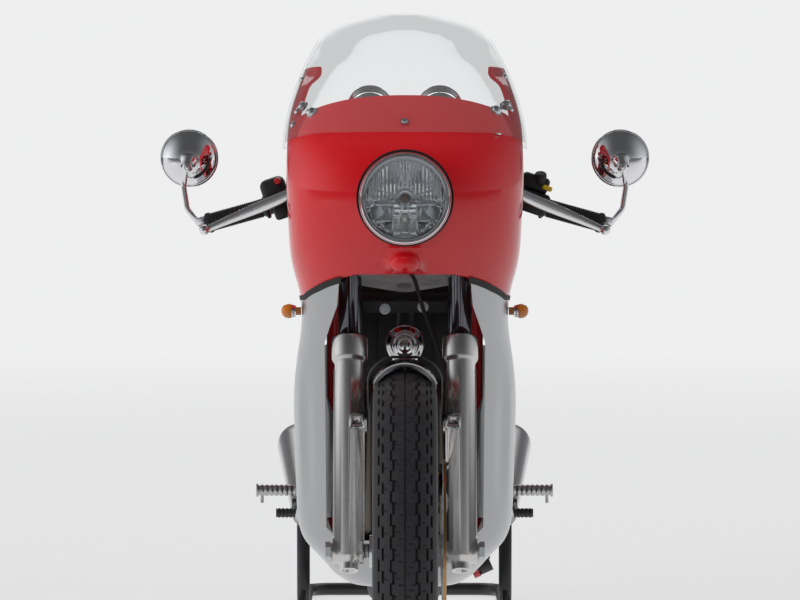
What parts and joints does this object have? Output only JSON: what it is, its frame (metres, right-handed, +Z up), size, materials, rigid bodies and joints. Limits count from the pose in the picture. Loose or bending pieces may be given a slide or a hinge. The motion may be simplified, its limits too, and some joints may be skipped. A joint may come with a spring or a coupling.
{
  "type": "cafe racer motorcycle",
  "caption": "Fully faired classic cafe racer motorcycle with clear bubble screen, round lamp, clip-on bars and laced wheels, held upright on a rear paddock stand.",
  "frame": {"origin": "centre of the bounding box on the floor", "axes": "+X to the machine's left, -Y to the front, +Z up"},
  "size_m": [0.878, 2.2069, 1.2471],
  "materials": {
    "amber_lens": "amber",
    "black_paint": "black paint",
    "black_plastic": "satin black plastic",
    "brushed_aluminium": "brushed",
    "cast_aluminium": "as cast",
    "chrome": "bright chrome",
    "clear_screen": "clear",
    "engine_metal": "plain",
    "lamp_glass": "clear",
    "polished_aluminium": "polished",
    "red_paint": "gloss red paint",
    "rubber": "matt rubber",
    "seat_cover": "black",
    "silver_paint": "satin silver paint",
    "steel": "ground steel",
    "tyre": "matt rubber"
  },
  "bodies": {
    "root": {"chain": "steel", "cradle": "red_paint", "engine_block": "engine_metal", "exhaust_pipes": "chrome", "fairing_stay": "black_paint", "fairing_trim": "rubber", "foot_levers": "brushed_aluminium", "frame": "red_paint", "frame_struts": "red_paint", "front_indicators": "amber_lens", "front_plate": "black_paint", "fuel_tank": "red_paint", "gauges": "chrome", "headlight_bowl": "chrome", "headlight_gasket": "rubber", "headlight_lens": "lamp_glass", "headlight_rim": "chrome", "horn": "chrome", "lower_fairing": "silver_paint", "paddock_stand": "black_paint", "rear_axle": "steel", "rear_caliper": "black_paint", "rear_indicators": "amber_lens", "rear_mudguard": "black_plastic", "rear_shocks": "chrome", "rearsets": "brushed_aluminium", "seat_pad": "seat_cover", "silencers": "brushed_aluminium", "swingarm": "brushed_aluminium", "tail_lamp": "amber_lens", "tail_unit": "red_paint", "upper_fairing": "red_paint", "windscreen": "clear_screen"},
    "steering": {"fork_sliders": "brushed_aluminium", "fork_stanchions": "chrome", "lower_yoke": "cast_aluminium", "upper_yoke": "cast_aluminium", "clip_ons": "black_paint", "grips": "rubber", "switchgear": "black_plastic", "levers": "polished_aluminium", "mirrors": "chrome", "front_mudguard": "polished_aluminium", "mudguard_hoop": "black_paint", "front_caliper": "black_paint", "front_axle": "steel", "brake_hose": "rubber"},
    "front_wheel_set": {"front_tyre": "tyre", "front_wheel": "brushed_aluminium", "front_disc": "steel"},
    "rear_wheel_set": {"rear_tyre": "tyre", "rear_wheel": "brushed_aluminium", "rear_disc": "steel", "rear_sprocket": "steel"},
    "prop": {"side_stand": "black_paint"}
  },
  "joints": [
    {"name": "steer", "type": "hinge", "parent": "root", "child": "steering", "pos_m": [0, -0.49001, 0.87001], "axis": [0, 0.4226, 0.9063], "range_deg": [-20, 20]},
    {"name": "front_spin", "type": "hinge", "parent": "steering", "child": "front_wheel_set", "pos_m": [0, -0.7865, 0.317], "axis": [1, 0, 0], "continuous": true},
    {"name": "rear_spin", "type": "hinge", "parent": "root", "child": "rear_wheel_set", "pos_m": [0, 0.6235, 0.356], "axis": [1, 0, 0], "continuous": true},
    {"name": "prop_fold", "type": "hinge", "parent": "root", "child": "prop", "pos_m": [0.15, -0.0245, 0.2], "axis": [-0.9135, 0, -0.4067], "range_deg": [0, 95]}
  ]
}
